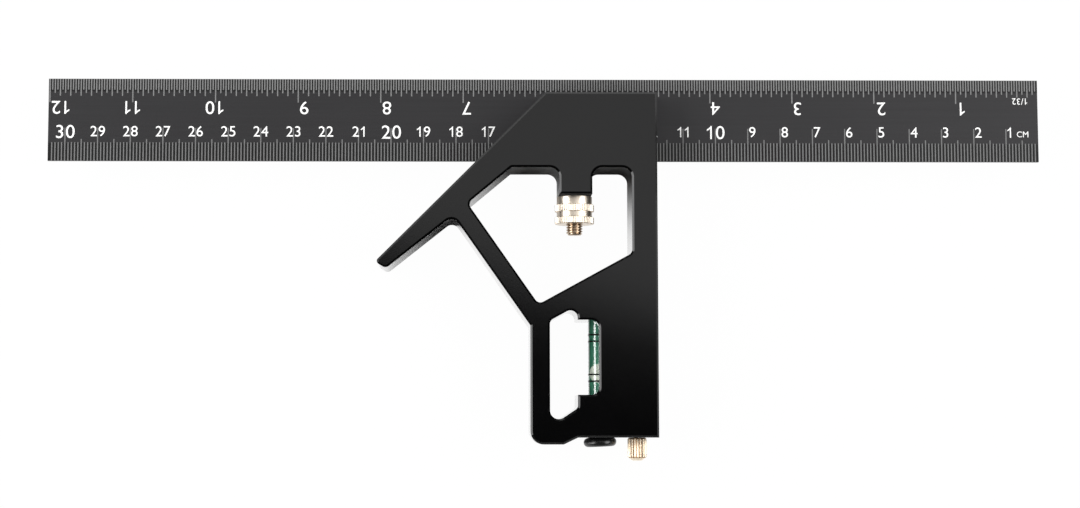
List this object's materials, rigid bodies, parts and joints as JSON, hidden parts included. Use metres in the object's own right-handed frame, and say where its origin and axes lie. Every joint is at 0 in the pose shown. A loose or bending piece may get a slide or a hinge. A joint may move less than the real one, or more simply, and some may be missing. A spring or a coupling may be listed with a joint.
{
  "type": "combination square",
  "caption": "Sliding combination square: a ruled steel blade in a cast head with a right angle and a mitre face, a level vial, a knurled lock nut and a scriber.",
  "frame": {"origin": "back face of the head, on the lock bolt's axis, at the lower edge of the blade (the slot floor)", "axes": "+X along the blade towards its zero end and out of the square face, +Y across the blade away from the head, +Z out of the ruled front"},
  "size_m": [0.3052, 0.117, 0.02],
  "materials": {
    "head_black": "satin",
    "blade_grey": "satin, darkened",
    "scale_fill": "matt filled lines",
    "bolt_steel": "plated",
    "nut_plate": "nickel plated, satin",
    "spring_steel": "drawn wire",
    "vial_glass": "clear",
    "vial_liquid": "green liquid",
    "cap_plastic": "matt",
    "ring_paint": "printed line",
    "plug_rubber": "satin",
    "knob_brass": "satin, knurled",
    "needle_steel": "ground"
  },
  "bodies": {
    "head": {"head": "head_black", "vial_tube": "vial_glass", "vial_liquid": "vial_liquid", "vial_cap": "cap_plastic", "vial_rings": "ring_paint", "vial_plug": "plug_rubber", "scriber_sleeve": "knob_brass", "lock_spring": "spring_steel"},
    "blade": {"blade": "blade_grey", "metric_scale": "scale_fill", "inch_scale": "scale_fill"},
    "bolt": {"lock_bolt": "bolt_steel"},
    "nut": {"lock_nut": "nut_plate"},
    "scriber": {"scriber_needle": "needle_steel", "scriber_knob": "knob_brass"}
  },
  "joints": [
    {"name": "blade_slide", "type": "slide", "parent": "head", "child": "blade", "axis": [1, 0, 0], "range_m": [-0.135, 0.155]},
    {"name": "nut_turn", "type": "hinge", "parent": "head", "child": "nut", "pos_m": [0, -0.01545, 0.01], "axis": [0, -1, 0], "range_deg": [0, 400]},
    {"name": "bolt_lift", "type": "slide", "parent": "head", "child": "bolt", "axis": [0, 1, 0], "range_m": [0, 0.0009], "deforming": ["lock_spring"]},
    {"name": "scriber_pull", "type": "slide", "parent": "head", "child": "scriber", "axis": [0, -1, 0], "range_m": [0, 0.04]}
  ],
  "couplings": [
    {"joint": "bolt_lift", "follows": "nut_turn", "m_per_rad": 0.00012732}
  ]
}
